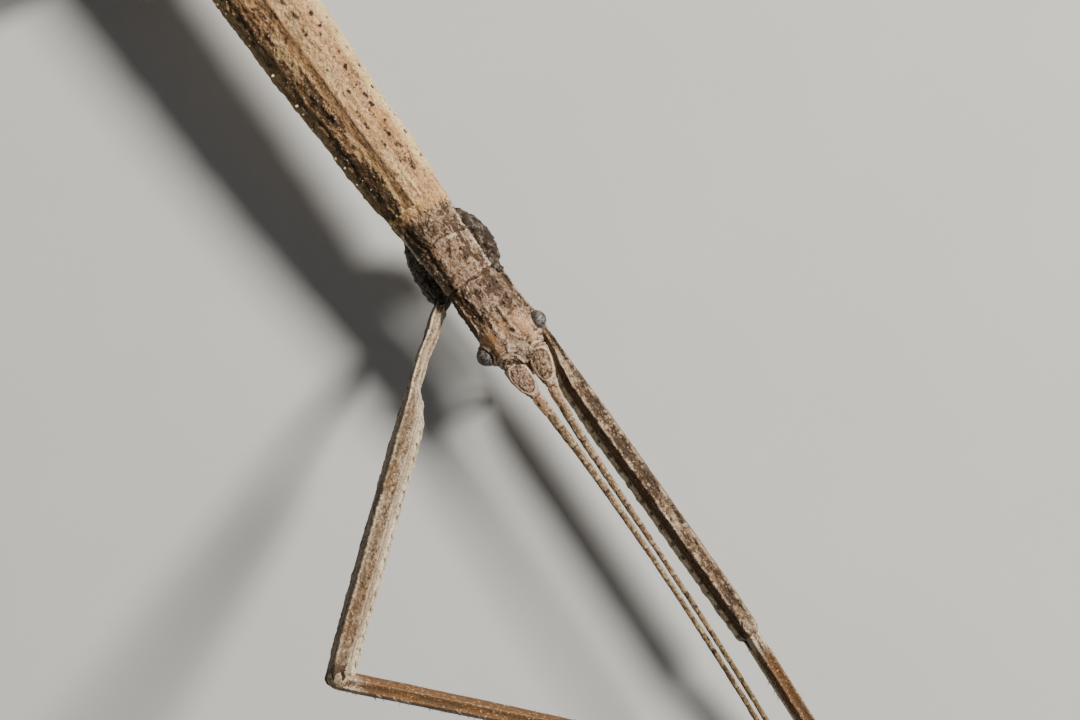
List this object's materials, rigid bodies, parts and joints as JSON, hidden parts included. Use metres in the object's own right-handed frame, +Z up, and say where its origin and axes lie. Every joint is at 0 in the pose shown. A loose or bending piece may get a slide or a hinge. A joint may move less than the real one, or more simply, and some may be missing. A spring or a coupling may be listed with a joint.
{
  "type": "giant stick insect",
  "caption": "Wingless giant stick insect at life size, standing still with a foreleg stretched ahead, the other bent high to the side, and long antennae held forward.",
  "frame": {"origin": "on the floor below the middle of the animal's box", "axes": "+Z up, -Y towards the head, +X towards the animal's left side"},
  "size_m": [0.1158, 0.2478, 0.0289],
  "materials": {
    "cuticle_body": "dry granular skin plates, mottled pinkish brown with black and pale grains",
    "cuticle_legs": "satin brown leg cuticle with pale edges and dark dashes",
    "cuticle_antennae": "satin brown, faintly ringed",
    "eyes": "glossy grey-brown compound eye with a dark centre",
    "claws": "smooth dark brown horn"
  },
  "bodies": {
    "root": {"abdomen_01": "cuticle_body", "abdomen_02": "cuticle_body", "abdomen_03": "cuticle_body", "abdomen_04": "cuticle_body", "abdomen_05": "cuticle_body", "abdomen_06": "cuticle_body", "abdomen_07": "cuticle_body", "abdomen_08": "cuticle_body", "abdomen_09": "cuticle_body", "abdomen_10": "cuticle_body", "cercus_left": "cuticle_body", "cercus_right": "cuticle_body", "claws_front_left": "claws", "claws_front_right": "claws", "claws_hind_left": "claws", "claws_hind_right": "claws", "claws_middle_left": "claws", "claws_middle_right": "claws", "coxa_front_left": "cuticle_legs", "coxa_front_right": "cuticle_legs", "coxa_hind_left": "cuticle_legs", "coxa_hind_right": "cuticle_legs", "coxa_middle_left": "cuticle_legs", "coxa_middle_right": "cuticle_legs", "eye_left": "eyes", "eye_right": "eyes", "femur_front_left": "cuticle_legs", "femur_front_right": "cuticle_legs", "femur_hind_left": "cuticle_legs", "femur_hind_right": "cuticle_legs", "femur_middle_left": "cuticle_legs", "femur_middle_right": "cuticle_legs", "flagellum_left": "cuticle_antennae", "flagellum_right": "cuticle_antennae", "head": "cuticle_body", "mesothorax": "cuticle_body", "metathorax": "cuticle_body", "mouthparts": "cuticle_body", "operculum": "cuticle_body", "palp_left": "cuticle_body", "palp_right": "cuticle_body", "pedicel_left": "cuticle_antennae", "pedicel_right": "cuticle_antennae", "prothorax": "cuticle_body", "scape_left": "cuticle_antennae", "scape_right": "cuticle_antennae", "tarsus_front_left": "cuticle_legs", "tarsus_front_right": "cuticle_legs", "tarsus_hind_left": "cuticle_legs", "tarsus_hind_right": "cuticle_legs", "tarsus_middle_left": "cuticle_legs", "tarsus_middle_right": "cuticle_legs", "tibia_front_left": "cuticle_legs", "tibia_front_right": "cuticle_legs", "tibia_hind_left": "cuticle_legs", "tibia_hind_right": "cuticle_legs", "tibia_middle_left": "cuticle_legs", "tibia_middle_right": "cuticle_legs"}
  },
  "joints": []
}
